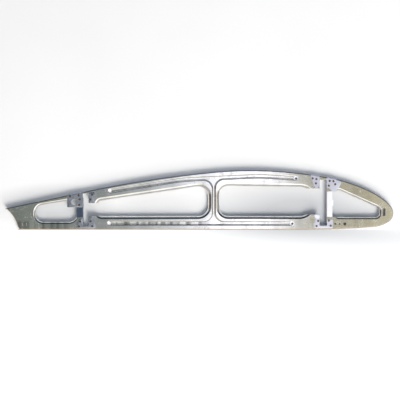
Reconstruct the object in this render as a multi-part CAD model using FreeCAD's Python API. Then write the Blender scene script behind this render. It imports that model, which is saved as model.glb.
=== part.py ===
"""Wing rib of a light aircraft: one pressed aluminium sheet with gussets, slot stiffeners and solid rivets.

Frame: +X forward to the nose, +Z up, +Y through the web to the flange side. The origin is the middle of
the front spar slot, on the plain face of the web. Lengths are in millimetres and angles in degrees.
"""

import FreeCAD, Part
import math
import os

# Sheet metal
web_sheet = 0.8
gusset_sheet = 1.0
stiffener_sheet = 1.0
bend_inside = 2.2
flange_depth = 19.0

# Skin line: a flat underside, then arcs round the nose and back over the top, as (radius, turn)
underside_height = -86.5
underside_front = -62.5
skin_arcs = [
    (2850.0, 4.5),
    (108.0, 27.0),
    (33.0, 82.0),
    (60.0, 26.0),
    (250.0, 13.0),
    (480.0, 16.0),
    (1320.0, 17.0),
    (3700.0, 6.5),
]
tail_top_x = -1016.5
tail_bottom_x = -975.5
tail_arc_depth = 7.8
tail_corner_relief = 7.0
nose_relief_x = 164.0
nose_relief_width = 4.0

# Spar slots
spar_spacing = 760.0
front_slot_width = 23.0
front_slot_height = 147.0
rear_slot_width = 18.0
rear_slot_height = 104.0
rear_slot_middle = -22.5
slot_corner_radius = 3.0

# Lightening holes
bay_lip = 11.0
end_lip = 7.5
tail_hole_length = 132.0
tail_hole_bottom = -61.0
tail_hole_top = 11.1
tail_hole_slope = 0.165
tail_hole_radius = 24.0
tail_hole_forward_radius = 26.0
tail_hole_hidden_radius = 12.0
bay_hole_bottom = -42.0
aft_bay_setback = 30.0
aft_bay_top = 4.5
aft_bay_slope = 0.146
aft_bay_aft_radius = 11.0
aft_bay_post_radius = 32.0
forward_bay_top = 53.8
forward_bay_slope = -0.014
forward_bay_post_radius = 28.0
forward_bay_slot_radius = 41.0
forward_bay_setback = 22.5
nose_hole_setback = 30.0
nose_hole_bottom = -46.0
nose_hole_top = 44.8
nose_hole_length = 139.0
nose_hole_slope = -0.448
nose_hole_corner_radius = 9.0
nose_hole_tip_radius = 13.0

# Cut-outs that join a lightening hole to the slot beside it, as lowest and highest point
tail_hole_gate = (-47.5, -13.0)
aft_bay_gate = (-42.0, -1.1)
forward_bay_gate = (-37.9, 45.3)
nose_hole_gate = (-46.0, 36.0)

# Pressed grooves
groove_width = 16.0
groove_depth = 4.0
groove_wall_angle = 70.0
groove_end_radius = 7.5
groove_junction_radius = 26.0
groove_sweep_radius = 600.0
lower_groove_height = -66.0
lower_groove_aft = -692.0
lower_groove_front = -93.0
upper_groove_line = [(-689.5, 36.5), (-450.0, 74.5), (-200.0, 85.8), (-80.0, 77.7)]
post_x = -350.0
post_groove_width = 14.0
post_flat = 0.5

# Small holes
cable_hole_radius = 10.0
cable_hole_clearance = 1.0
cable_hole_from_slot = 27.0
cable_hole_height = 2.0
nose_pilot_holes = [(38.5, -68.0, 2.8), (52.5, -68.0, 2.5), (69.0, -68.0, 4.8)]
nose_slot_x = 195.0
nose_slot_height = -30.5
nose_slot_size = (8.6, 25.0)

# Slot stiffeners: the rear foot above its slot's bottom, the front foot above the underside, and
# how far each head is below the skin
rear_stiffener_width = 19.5
rear_stiffener_foot = 6.5
rear_stiffener_drop = 18.2
front_stiffener_width = 18.0
front_stiffener_foot = 21.5
front_stiffener_drop = 5.3
stiffener_flange = 15.0
stiffener_ear = 3.0
stiffener_ear_span = (-9.0, 7.0)

# Gussets and doublers: how far they stand back from the slot's edge, and how they lap over the flange
edge_step = 0.5
gusset_corner = 3.0
notch_corner = 2.0
sharp_corner = 0.2
rear_lap_depth = 12.0
front_lap_depth = 14.0
front_lap_width = 30.0
cable_gusset_width = 50.0
cable_gusset_drop = 2.0
small_gusset_width = 19.0
small_gusset_flare = 1.5
small_gusset_drop = 5.9
post_gusset_widths = (19.0, 27.5)
post_gusset_taper = (14.0, 33.0)
post_gusset_bend = 6.0

# Lower edge of the gusset above the nose hole, as (distance from the slot, height above the gate, radius)
nose_gusset_edge = [
    (0.0, 10.5, 2.0),
    (8.0, 10.5, 8.0),
    (18.0, -1.0, 6.0),
    (26.0, -1.0, 5.0),
    (38.0, 11.0, 6.0),
    (45.0, 24.0, 8.0),
]

# Doublers under the slots: a strap with a lobe each side, and a bent tab on one of the lobes
strap_height = 7.0
strap_drop = 1.0
rear_aft_lobe_widths = (11.0, 20.0)
rear_aft_lobe_height = 24.0
rear_aft_lobe_slant = 16.0
rear_forward_lobe_widths = (13.0, 18.0, 22.5)
rear_forward_lobe_height = 31.0
rear_forward_lobe_waist = 12.0
rear_lobe_sweep = 30.0
front_aft_lobe_width = 17.0
front_aft_lobe_height = 22.6
front_aft_lobe_slant = 14.0
front_forward_lobe_width = 18.5
front_forward_lobe_height = 20.5
tab_length = 12.0
tab_root_width = 12.0
tab_tip_width = 19.0
tab_lean = 22.0

# Rivets
rivet_shank_radius = 1.6
rivet_head_radius = 3.2
rivet_head_height = 1.5
rivet_head_crown = 0.6
rivet_tail_radius = 2.4
rivet_tail_height = 1.4
small_rivet_share = 0.5
rivet_clearance = 0.05

bend_outside = bend_inside + web_sheet
rear_x = -spar_spacing
front_slot_edges = (-front_slot_width / 2, front_slot_width / 2)
rear_slot_edges = (rear_x - rear_slot_width / 2, rear_x + rear_slot_width / 2)
front_slot_span = (-front_slot_height / 2, front_slot_height / 2)
rear_slot_span = (rear_slot_middle - rear_slot_height / 2, rear_slot_middle + rear_slot_height / 2)
cable_hole_x = rear_slot_edges[0] - cable_hole_from_slot
tail_hole_front = rear_slot_edges[0] - rear_stiffener_width
two_sheets = gusset_sheet + web_sheet
three_sheets = two_sheets + stiffener_sheet

THROUGH = FreeCAD.Vector(0, 1, 0)
PAST = 5.0


def at(point, y=0.0):
    """A point of the web's plane, at depth y."""
    return FreeCAD.Vector(point[0], y, point[1])


def turned(vector, degrees):
    """A vector of the web's plane, turned from +X towards +Z."""
    angle = math.radians(degrees)
    c, s = math.cos(angle), math.sin(angle)
    return (vector[0] * c - vector[1] * s, vector[0] * s + vector[1] * c)


def moved(point, vector, distance=1.0):
    return (point[0] + vector[0] * distance, point[1] + vector[1] * distance)


class Line:
    """A straight stretch of a path from start to end."""

    def __init__(self, start, end):
        self.start, self.end = start, end
        length = math.dist(start, end)
        self.length = length
        self.along = ((end[0] - start[0]) / length, (end[1] - start[1]) / length)

    def edge(self, y):
        return Part.LineSegment(at(self.start, y), at(self.end, y)).toShape()

    def swept(self, profile):
        return profile.extrude(at(self.along) * self.length)


class Arc:
    """A round stretch of a path, from start with the heading along, turning left for a positive turn."""

    def __init__(self, start, along, radius, turn):
        self.start, self.along, self.radius, self.turn = start, along, radius, turn
        side = 90.0 if turn > 0 else -90.0
        self.centre = moved(start, turned(along, side), radius)
        spoke = (start[0] - self.centre[0], start[1] - self.centre[1])
        self.middle = moved(self.centre, turned(spoke, turn / 2))
        self.end = moved(self.centre, turned(spoke, turn))
        self.heading = turned(along, turn)

    def edge(self, y):
        return Part.Arc(at(self.start, y), at(self.middle, y), at(self.end, y)).toShape()

    def swept(self, profile):
        return profile.revolve(at(self.centre), THROUGH * -1, self.turn)


def skin_path(inset=0.0):
    """The skin line moved inwards: along the underside, round the nose and back to the tail's top."""
    start = (tail_bottom_x, underside_height + inset)
    path = [Line(start, (underside_front, underside_height + inset))]
    along = (1.0, 0.0)
    for radius, turn in skin_arcs:
        path.append(Arc(path[-1].end, along, radius - inset, turn))
        along = path[-1].heading
    last = path[-1].end
    outer_drop = inset * along[1]
    reach = (tail_top_x - outer_drop - last[0]) / along[0]
    path.append(Line(last, moved(last, along, reach)))
    return path


def above_skin():
    """A height that clears the highest point of the skin."""
    return max(stretch.end[1] for stretch in skin_path()) + 3 * PAST


def skin_height(x):
    """Height of the skin's upper side at a station."""
    for stretch in skin_path():
        if stretch.end[0] <= x <= stretch.start[0]:
            break
    if isinstance(stretch, Line):
        return stretch.start[1] + (x - stretch.start[0]) * stretch.along[1] / stretch.along[0]
    return stretch.centre[1] + math.sqrt(stretch.radius ** 2 - (x - stretch.centre[0]) ** 2)


def rounded_path(corners, radii, inset=0.0):
    """A closed path round the corners, taken anticlockwise, with a radius at each and moved inwards."""
    count = len(corners)
    sides = [Line(corners[i], corners[(i + 1) % count]) for i in range(count)]
    fillets = []
    for i in range(count):
        before, after = sides[i - 1].along, sides[i].along
        cross = before[0] * after[1] - before[1] * after[0]
        turn = math.degrees(math.atan2(cross, before[0] * after[0] + before[1] * after[1]))
        radius = radii[i] - inset if turn > 0 else radii[i] + inset
        corner = moved(corners[i], turned(before, 90.0), inset)
        corner = moved(corner, before, -inset * math.tan(math.radians(turn) / 2))
        reach = radius * math.tan(math.radians(abs(turn)) / 2)
        fillets.append(Arc(moved(corner, before, -reach), before, radius, turn))
    path = []
    for i in range(count):
        path.append(fillets[i])
        path.append(Line(fillets[i].end, fillets[(i + 1) % count].start))
    return path


def wire(path, y=0.0):
    return Part.Wire([stretch.edge(y) for stretch in path])


def slab(outer, low, high, inner=()):
    """Sheet between the depths low and high, inside the outer path and outside the inner ones."""
    face = Part.makeFace([wire(outer, low)] + [wire(p, low) for p in inner], "Part::FaceMakerBullseye")
    return face.extrude(THROUGH * (high - low))


def plate(corners, radii, low, high):
    return slab(rounded_path(corners, radii), low, high)


def box(x, y, z):
    """A block between the two values of each axis."""
    return Part.makeBox(x[1] - x[0], y[1] - y[0], z[1] - z[0], FreeCAD.Vector(x[0], y[0], z[0]))


def bend_section(place, sheet, inside, depth, flat=0.0):
    """Section of an edge turned through a right angle, with a wall down to depth where that is deeper."""
    outside = inside + sheet
    mid = math.sqrt(0.5)
    edges = [
        Part.Arc(
            place(0, outside),
            place(outside * (1 - mid), outside * (1 - mid)),
            place(outside, 0),
        ).toShape(),
        Part.LineSegment(place(outside, 0), place(outside, sheet)).toShape(),
        Part.Arc(
            place(outside, sheet),
            place(outside - inside * mid, outside - inside * mid),
            place(sheet, outside),
        ).toShape(),
    ]
    if depth > outside:
        edges.append(Part.LineSegment(place(sheet, outside), place(sheet, depth)).toShape())
        edges.append(Part.LineSegment(place(sheet, depth), place(0, depth)).toShape())
        edges.append(Part.LineSegment(place(0, depth), place(0, outside)).toShape())
    else:
        edges.append(Part.LineSegment(place(sheet, outside), place(0, outside)).toShape())
    return Part.Face(Part.Wire(edges))


def groove_sizes():
    """Middle radius of the groove's two bends, and the width that its wall takes."""
    angle = math.radians(groove_wall_angle)
    radius = groove_depth / (2 * (1 - math.cos(angle)))
    return radius, 2 * radius * math.sin(angle)


def groove_section(place):
    """Section of a groove's wall: a shoulder bend at the plain face and a root bend at the floor."""
    radius, width = groove_sizes()
    angle = math.radians(groove_wall_angle)
    wide, tight = radius + web_sheet / 2, radius - web_sheet / 2
    shoulder = radius + web_sheet / 2
    root = groove_depth + web_sheet / 2 - radius

    def on_shoulder(r, a):
        return place(r * math.sin(a), shoulder - r * math.cos(a))

    def on_root(r, a):
        return place(width - r * math.sin(a), root + r * math.cos(a))

    edges = [
        Part.Arc(on_shoulder(wide, 0), on_shoulder(wide, angle / 2), on_shoulder(wide, angle)),
        Part.Arc(on_root(tight, angle), on_root(tight, angle / 2), on_root(tight, 0)),
        Part.LineSegment(on_root(tight, 0), on_root(wide, 0)),
        Part.Arc(on_root(wide, 0), on_root(wide, angle / 2), on_root(wide, angle)),
        Part.Arc(on_shoulder(tight, angle), on_shoulder(tight, angle / 2), on_shoulder(tight, 0)),
        Part.LineSegment(on_shoulder(tight, 0), on_shoulder(wide, 0)),
    ]
    return Part.Face(Part.Wire([edge.toShape() for edge in edges]))


def along_path(path, section, side):
    """Solids with one section along a path: side is 1 to lay it out to the left, and -1 to the right."""
    solids = []
    for stretch in path:
        across = turned(stretch.along, 90.0 * side)

        def place(s, y, start=stretch.start, across=across):
            return at(moved(start, across, s), y)

        solids.append(stretch.swept(section(place)))
    return solids


def tail_arc():
    """The concave aft end, from the skin's top corner down to its bottom corner."""
    top, bottom = skin_path()[-1].end, (tail_bottom_x, underside_height)
    chord = Line(top, bottom)
    quarter = math.degrees(math.atan(2 * tail_arc_depth / chord.length))
    radius = chord.length / (2 * math.sin(math.radians(2 * quarter)))
    return Arc(top, turned(chord.along, 2 * quarter), radius, -4 * quarter)


def shortened(arc, relief):
    """The middle stretch of an arc, with the relief left off at each end."""
    lost = math.copysign(math.degrees(relief / arc.radius), arc.turn)
    spoke = (arc.start[0] - arc.centre[0], arc.start[1] - arc.centre[1])
    start = moved(arc.centre, turned(spoke, lost))
    return Arc(start, turned(arc.along, lost), arc.radius, arc.turn - 2 * lost)


def web_flat():
    """The flat of the web inside its bends, before its holes: the skin's inset cut back at the tail."""
    path = skin_path(bend_outside)
    blank = slab(path + [Line(path[-1].end, path[0].start)], 0, web_sheet)
    tail = tail_arc()
    return blank.cut(Part.makeCylinder(tail.radius + bend_outside, 3 * PAST, at(tail.centre, -PAST), THROUGH))


def tail_hole(inset=0.0):
    front = tail_hole_front
    aft = front - tail_hole_length
    corners = [
        (aft, tail_hole_bottom),
        (front, tail_hole_bottom),
        (front, tail_hole_top),
        (aft, tail_hole_top - tail_hole_slope * tail_hole_length),
    ]
    radii = [tail_hole_radius, tail_hole_forward_radius, tail_hole_hidden_radius, tail_hole_radius]
    return rounded_path(corners, radii, inset)


def plain_corner():
    """The corner of the tail hole that has no lip, behind the cable gusset, and its flat ledge."""
    x = (tail_hole_front - tail_hole_hidden_radius, rear_slot_edges[0])
    z = (tail_hole_gate[1] - PAST, above_skin())
    corner = box(x, (-PAST, end_lip + PAST), z)
    ledge = slab(tail_hole(-end_lip), 0, web_sheet, [tail_hole()])
    return corner, ledge.common(corner)


def aft_bay(inset=0.0):
    aft = rear_slot_edges[1] + aft_bay_setback
    front = post_x - post_groove_width / 2 - post_flat - bay_lip
    corners = [
        (aft, bay_hole_bottom),
        (front, bay_hole_bottom),
        (front, aft_bay_top + aft_bay_slope * (front - aft)),
        (aft, aft_bay_top),
    ]
    radii = [aft_bay_aft_radius, aft_bay_post_radius, aft_bay_post_radius, aft_bay_aft_radius]
    return rounded_path(corners, radii, inset)


def forward_bay(inset=0.0):
    aft = post_x + post_groove_width / 2 + post_flat + bay_lip
    front = front_slot_edges[0] - forward_bay_setback
    corners = [
        (aft, bay_hole_bottom),
        (front, bay_hole_bottom),
        (front, forward_bay_top + forward_bay_slope * (front - aft)),
        (aft, forward_bay_top),
    ]
    post, slot = forward_bay_post_radius, forward_bay_slot_radius
    return rounded_path(corners, [post, slot, slot, post], inset)


def nose_hole(inset=0.0):
    aft = front_slot_edges[1] + nose_hole_setback
    front = aft + nose_hole_length
    corners = [
        (aft, nose_hole_bottom),
        (front, nose_hole_bottom),
        (front, nose_hole_top + nose_hole_slope * nose_hole_length),
        (aft, nose_hole_top),
    ]
    corner, tip = nose_hole_corner_radius, nose_hole_tip_radius
    return rounded_path(corners, [corner, tip, tip, corner], inset)


def upper_groove_height(x):
    """Height of the upper groove's middle line."""
    stations = list(zip(upper_groove_line, upper_groove_line[1:]))
    for (x1, z1), (x2, z2) in stations:
        if x <= x2:
            break
    return z1 + (z2 - z1) * (x - x1) / (x2 - x1)


def grooves(inset=0.0):
    """One closed outline round the lower groove, the post between the bays and the upper groove."""
    half = groove_width / 2
    post_aft, post_front = post_x - post_groove_width / 2, post_x + post_groove_width / 2
    low, high = lower_groove_height - half, lower_groove_height + half
    end, joint, sweep = groove_end_radius, groove_junction_radius, groove_sweep_radius
    (aft, aft_z), first_bend, second_bend, (front, front_z) = upper_groove_line
    corners = [
        ((lower_groove_aft, low), end),
        ((lower_groove_front, low), end),
        ((lower_groove_front, high), end),
        ((post_front, high), joint),
        ((post_front, upper_groove_height(post_front) - half), joint),
        ((second_bend[0], second_bend[1] - half), sweep),
        ((front, front_z - half), end),
        ((front, front_z + half), end),
        ((second_bend[0], second_bend[1] + half), sweep),
        ((first_bend[0], first_bend[1] + half), sweep),
        ((aft, aft_z + half), end),
        ((aft, aft_z - half), end),
        ((first_bend[0], first_bend[1] - half), sweep),
        ((post_aft, upper_groove_height(post_aft) - half), joint),
        ((post_aft, high), joint),
        ((lower_groove_aft, high), end),
    ]
    return rounded_path([c for c, _ in corners], [r for _, r in corners], inset)


def slot_cutters():
    """The two spar slots and the gates that join them to the lightening holes beside them."""
    depth = (-PAST, flange_depth)
    cutters = []
    for edges, span in ((front_slot_edges, front_slot_span), (rear_slot_edges, rear_slot_span)):
        corners = [(edges[0], span[0]), (edges[1], span[0]), (edges[1], span[1]), (edges[0], span[1])]
        cutters.append(plate(corners, [slot_corner_radius] * 4, *depth))
    aft_corner = rear_slot_edges[1] + aft_bay_setback + aft_bay_aft_radius
    nose_corner = front_slot_edges[1] + nose_hole_setback + nose_hole_corner_radius
    forward_corner = front_slot_edges[0] - forward_bay_setback - forward_bay_slot_radius
    tail_corner = tail_hole_front - tail_hole_forward_radius
    gates = [
        ((tail_corner, rear_x), tail_hole_gate),
        ((rear_x, aft_corner), aft_bay_gate),
        ((forward_corner, 0.0), forward_bay_gate),
        ((0.0, nose_corner), nose_hole_gate),
    ]
    cutters += [box(x, depth, z) for x, z in gates]
    return cutters


def small_hole_cutters():
    cutters = [
        Part.makeCylinder(radius, 3 * PAST, FreeCAD.Vector(x, -PAST, z), THROUGH)
        for x, z, radius in nose_pilot_holes
    ]
    half_width, half_height = nose_slot_size[0] / 2, nose_slot_size[1] / 2
    corners = [
        (nose_slot_x - half_width, nose_slot_height - half_height),
        (nose_slot_x + half_width, nose_slot_height - half_height),
        (nose_slot_x + half_width, nose_slot_height + half_height),
        (nose_slot_x - half_width, nose_slot_height + half_height),
    ]
    cutters.append(plate(corners, [half_width - sharp_corner / 2] * 4, -PAST, 2 * PAST))
    return cutters


def cable_hole_cutter(clearance):
    centre = FreeCAD.Vector(cable_hole_x, -PAST, cable_hole_height)
    return Part.makeCylinder(cable_hole_radius + clearance, 3 * PAST, centre, THROUGH)


def rib_web():
    """The pressed sheet: flat, skin flange, tail flange, hole lips and grooves, then what is cut out."""
    _, groove_wall = groove_sizes()
    holes = [(tail_hole, end_lip), (aft_bay, bay_lip), (forward_bay, bay_lip), (nose_hole, end_lip)]

    def skin_flange(place):
        return bend_section(place, web_sheet, bend_inside, flange_depth)

    flat = web_flat()
    for hole, lip in holes:
        flat = flat.cut(slab(hole(-lip), -PAST, PAST))
    flat = flat.cut(slab(grooves(), -PAST, PAST))
    pieces = [slab(grooves(groove_wall), groove_depth, groove_depth + web_sheet)]
    pieces += along_path(grooves(), groove_section, 1)
    pieces += along_path(skin_path(), skin_flange, 1)
    tail = shortened(tail_arc(), tail_corner_relief)
    pieces += along_path([tail], skin_flange, 1)
    for hole, lip in holes:

        def lip_section(place, lip=lip):
            return bend_section(place, web_sheet, lip - web_sheet, lip)

        lips = along_path(hole(), lip_section, -1)
        if hole is tail_hole:
            corner, ledge = plain_corner()
            lips = [piece.cut(corner) for piece in lips] + [ledge]
        pieces += [piece for piece in lips if piece.Volume > 0]
    sheet = flat.multiFuse(pieces).removeSplitter()
    nose_relief = box(
        (nose_relief_x - nose_relief_width / 2, nose_relief_x + nose_relief_width / 2),
        (web_sheet, flange_depth + PAST),
        (underside_height - PAST, underside_height + 4 * PAST),
    )
    cutters = slot_cutters() + small_hole_cutters() + [nose_relief]
    cutters.append(cable_hole_cutter(cable_hole_clearance))
    return sheet.cut(cutters)


def lapped_flange(x, sheet, depth):
    """A strip of flange that lies over the outside of the rib's upper flange between two stations."""

    def section(place):
        return bend_section(place, sheet, bend_outside, depth)

    def inside_out(place):
        return section(lambda s, y: place(s - sheet, y - sheet))

    upper = [stretch for stretch in skin_path()[1:] if stretch.end[1] > 0 or stretch.start[1] > 0]
    strips = along_path(upper, inside_out, 1)
    cutter = box(x, (-PAST, depth + PAST), (0.0, above_skin()))
    parts = [strip.common(cutter) for strip in strips]
    return [part for part in parts if part.Volume > 0]


def upper_gusset(corners, radii, lap, lap_depth):
    """A gusset on the plain face whose upper edge is turned over the rib's flange."""
    path = skin_path(bend_outside)
    blank = slab(path + [Line(path[-1].end, path[0].start)], -gusset_sheet, 0)
    flat = plate(corners, radii, -gusset_sheet, 0).common(blank)
    gusset = flat.multiFuse(lapped_flange(lap, gusset_sheet, lap_depth))
    return gusset.removeSplitter()


def rear_upper_aft_gusset():
    aft, front = rear_slot_edges[0] - cable_gusset_width, rear_slot_edges[0] - edge_step
    low, high = tail_hole_gate[1] - cable_gusset_drop, above_skin()
    corners = [(aft, low), (front, low), (front, high), (aft, high)]
    gusset = upper_gusset(corners, [gusset_corner] * 4, (aft, front), rear_lap_depth)
    return gusset.cut(cable_hole_cutter(0.0))


def rear_upper_forward_gusset():
    aft, front = rear_slot_edges[1] + edge_step, rear_slot_edges[1] + small_gusset_width
    low, high = aft_bay_gate[1] + edge_step, skin_height(rear_slot_edges[1]) - small_gusset_drop
    corners = [(aft, low), (front, low), (front + small_gusset_flare, high + small_gusset_flare), (aft, high)]
    return plate(corners, [notch_corner, notch_corner, gusset_corner, gusset_corner], -gusset_sheet, 0)


def rear_lower_doubler():
    aft, front = rear_slot_edges[0] - edge_step, rear_slot_edges[1] + edge_step
    top = rear_slot_span[0] - strap_drop
    low = top - strap_height
    aft_top = rear_slot_span[0] + rear_aft_lobe_height
    front_top = rear_slot_span[0] + rear_forward_lobe_height
    tip, foot = rear_aft_lobe_widths
    front_tip, front_waist, front_foot = rear_forward_lobe_widths
    corners = [
        ((aft - foot, low), gusset_corner),
        ((front + front_foot, low), gusset_corner),
        ((front + front_waist, front_top - rear_forward_lobe_waist), rear_lobe_sweep),
        ((front + front_tip, front_top), gusset_corner),
        ((front, front_top), notch_corner),
        ((front, top), notch_corner),
        ((aft, top), notch_corner),
        ((aft, aft_top), notch_corner),
        ((aft - tip, aft_top), gusset_corner),
        ((aft - foot, aft_top - rear_aft_lobe_slant), 2 * gusset_corner),
    ]
    return plate([c for c, _ in corners], [r for _, r in corners], -gusset_sheet, 0)


def front_upper_aft_gusset():
    front = front_slot_edges[0] - edge_step
    low = forward_bay_gate[1] + edge_step
    narrow, wide = post_gusset_widths
    taper_low, taper_high = post_gusset_taper
    corners = [
        ((front - narrow, low), gusset_corner),
        ((front, low), gusset_corner),
        ((front, above_skin()), gusset_corner),
        ((front - wide, above_skin()), gusset_corner),
        ((front - wide, low + taper_high), post_gusset_bend),
        ((front - narrow, low + taper_low), post_gusset_bend),
    ]
    lap = (front - wide, front)
    return upper_gusset([c for c, _ in corners], [r for _, r in corners], lap, front_lap_depth)


def front_upper_forward_gusset():
    aft = front_slot_edges[1] + edge_step
    edge = [((aft + x, nose_hole_gate[1] + z), radius) for x, z, radius in nose_gusset_edge]
    front = edge[-1][0][0]
    corners = edge + [((front, above_skin()), gusset_corner), ((aft, above_skin()), gusset_corner)]
    lap = (aft, aft + front_lap_width)
    return upper_gusset([c for c, _ in corners], [r for _, r in corners], lap, front_lap_depth)


def front_lower_doubler():
    aft, front = front_slot_edges[0] - edge_step, front_slot_edges[1] + edge_step
    top = front_slot_span[0] - strap_drop
    low = top - strap_height
    aft_top = front_slot_span[0] + front_aft_lobe_height
    front_top = front_slot_span[0] + front_forward_lobe_height
    corners = [
        ((aft - front_aft_lobe_width, low), gusset_corner),
        ((front + front_forward_lobe_width, low), gusset_corner),
        ((front + front_forward_lobe_width, front_top), gusset_corner),
        ((front, front_top), notch_corner),
        ((front, top), notch_corner),
        ((aft, top), notch_corner),
        ((aft, aft_top), sharp_corner),
        ((aft - tab_root_width, aft_top), sharp_corner),
        ((aft - front_aft_lobe_width, low + front_aft_lobe_slant), 2 * gusset_corner),
    ]
    flat = plate([c for c, _ in corners], [r for _, r in corners], -gusset_sheet, 0)
    tab_corners = [
        (aft - tab_root_width, aft_top),
        (aft, aft_top),
        (aft, aft_top + tab_length),
        (aft - tab_tip_width, aft_top + tab_length),
    ]
    tab = plate(tab_corners, [sharp_corner, sharp_corner, notch_corner, notch_corner], -gusset_sheet, 0)
    hinge = FreeCAD.Vector(aft, -gusset_sheet - bend_inside, aft_top)
    tab.rotate(hinge, FreeCAD.Vector(1, 0, 0), tab_lean)
    root_x = (aft - tab_root_width + sharp_corner, aft - sharp_corner)
    root = box(root_x, (-gusset_sheet, 0.0), (aft_top - gusset_sheet, aft_top))
    end = max(root.Faces, key=lambda face: face.CenterOfMass.z)
    bend = end.revolve(hinge, FreeCAD.Vector(1, 0, 0), tab_lean)
    return flat.multiFuse([bend, tab]).removeSplitter()


def stiffener(edge, side, width, span):
    """An upright strip behind the web, with a flange turned back along the slot's edge."""
    inside = stiffener_sheet
    outside = inside + stiffener_sheet
    flat_x = sorted((edge + side * outside, edge + side * width))
    flat = box(flat_x, (web_sheet, web_sheet + stiffener_sheet), span)

    def place(s, y):
        return FreeCAD.Vector(edge + side * s, web_sheet + y, span[0])

    corner = bend_section(place, stiffener_sheet, inside, stiffener_flange)
    return flat.fuse(corner.extrude(FreeCAD.Vector(0, 0, span[1] - span[0]))).removeSplitter()


def rear_slot_stiffener():
    """The aft strip, narrower at its foot, where the tail hole's lip is beside it."""
    edge, foot_height = rear_slot_edges[0], rear_slot_span[0] + rear_stiffener_foot
    span = (foot_height, skin_height(edge) - rear_stiffener_drop)
    strip = stiffener(edge, -1, rear_stiffener_width, span)
    foot = box(
        (tail_hole_front - PAST, tail_hole_front + end_lip + edge_step),
        (0.0, flange_depth),
        (foot_height - PAST, tail_hole_gate[0]),
    )
    return strip.cut([foot, cable_hole_cutter(cable_hole_clearance)])


def front_slot_stiffener():
    """The forward strip, with a small ear half way up its free edge."""
    edge = front_slot_edges[1]
    span = (underside_height + front_stiffener_foot, skin_height(edge) - front_stiffener_drop)
    strip = stiffener(edge, 1, front_stiffener_width, span)
    free = edge + front_stiffener_width
    low, high = stiffener_ear_span
    corners = [
        (free - PAST, low - PAST),
        (free, low - stiffener_ear),
        (free + stiffener_ear, low),
        (free + stiffener_ear, high),
        (free, high + stiffener_ear),
        (free - PAST, high + PAST),
    ]
    radii = [sharp_corner] + [notch_corner] * 4 + [sharp_corner]
    ear = plate(corners, radii, web_sheet, web_sheet + stiffener_sheet)
    return strip.fuse(ear).removeSplitter()


def rivet(x, z, grip, share=1.0):
    """A driven rivet whose round head sits on the gusset, through sheets as thick as the grip."""
    head, height = rivet_head_radius * share, rivet_head_height * share
    shank, tail = rivet_shank_radius * share, rivet_tail_radius * share
    crown, back = rivet_head_crown * head, grip + rivet_tail_height * share
    profile = [
        (0.0, -height),
        (crown, -height),
        (head, 0.0),
        (shank, 0.0),
        (shank, grip),
        (tail, grip),
        (tail, back),
        (0.0, back),
    ]
    points = [FreeCAD.Vector(radius, depth, 0.0) for radius, depth in profile]
    face = Part.Face(Part.makePolygon(points + points[:1]))
    solid = face.revolve(FreeCAD.Vector(0, 0, 0), THROUGH, 360.0)
    solid.translate(FreeCAD.Vector(x, -gusset_sheet, z))
    return solid


def rivet_groups():
    """Each group of rivets: the slot edge that it is set out from, its size, and its rivets' places.

    A place is the distance from the edge, the height, and the sheets that the rivet holds.
    """
    rear_aft, rear_forward = rear_slot_edges
    front_aft, front_forward = front_slot_edges
    rear_foot, front_foot, underside = rear_slot_span[0], front_slot_span[0], underside_height
    tops = [skin_height(x) for x in (rear_aft, rear_forward, front_aft, front_forward)]
    return {
        "rear_upper_aft_rivet": (rear_aft, 1.0, [
            (-41.5, tops[0] - 14.2, two_sheets),
            (-13.5, tops[0] - 10.7, two_sheets),
            (-10.2, tops[0] - 23.5, three_sheets),
            (-11.5, tops[0] - 41.7, three_sheets),
        ]),
        "rear_upper_forward_rivet": (rear_forward, 1.0, [
            (11.5, tops[1] - 12.4, two_sheets),
            (6.5, tops[1] - 27.9, two_sheets),
        ]),
        "rear_lower_aft_rivet": (rear_aft, 1.0, [
            (-8.5, rear_foot + 14.2, three_sheets),
            (-13.0, underside + 10.2, two_sheets),
        ]),
        "rear_lower_forward_rivet": (rear_forward, 1.0, [
            (6.8, rear_foot + 14.8, two_sheets),
            (12.2, underside + 11.1, two_sheets),
        ]),
        "front_upper_aft_rivet": (front_aft, 1.0, [
            (-22.4, tops[2] - 7.9, two_sheets),
            (-10.3, tops[2] - 9.7, two_sheets),
            (-11.9, tops[2] - 23.8, two_sheets),
        ]),
        "front_upper_aft_small_rivet": (front_aft, small_rivet_share, [
            (-3.5, tops[2] - 35.9, two_sheets),
            (-17.0, tops[2] - 35.9, two_sheets),
        ]),
        "front_upper_forward_rivet": (front_forward, 1.0, [
            (9.3, tops[3] - 12.0, three_sheets),
            (21.1, tops[3] - 13.0, two_sheets),
            (26.9, tops[3] - 22.6, two_sheets),
            (6.4, tops[3] - 27.1, three_sheets),
        ]),
        "front_lower_aft_rivet": (front_aft, 1.0, [
            (-4.6, front_foot + 14.8, two_sheets),
            (-9.6, underside + 11.5, two_sheets),
        ]),
        "front_lower_forward_rivet": (front_forward, 1.0, [
            (6.7, front_foot + 16.1, three_sheets),
            (12.5, underside + 12.5, two_sheets),
        ]),
    }


def rivets():
    """Every rivet's name, place, grip and size."""
    for name, (edge, share, places) in rivet_groups().items():
        for number, (across, height, grip) in enumerate(places, 1):
            yield f"{name}_{number}", edge + across, height, grip, share


def rivet_hole_cutters():
    """Holes for every rivet, a little larger than its shank."""
    cutters = []
    for _, x, z, _, share in rivets():
        radius = rivet_shank_radius * share + rivet_clearance
        cutters.append(Part.makeCylinder(radius, 3 * PAST, FreeCAD.Vector(x, -PAST, z), THROUGH))
    return cutters


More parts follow.
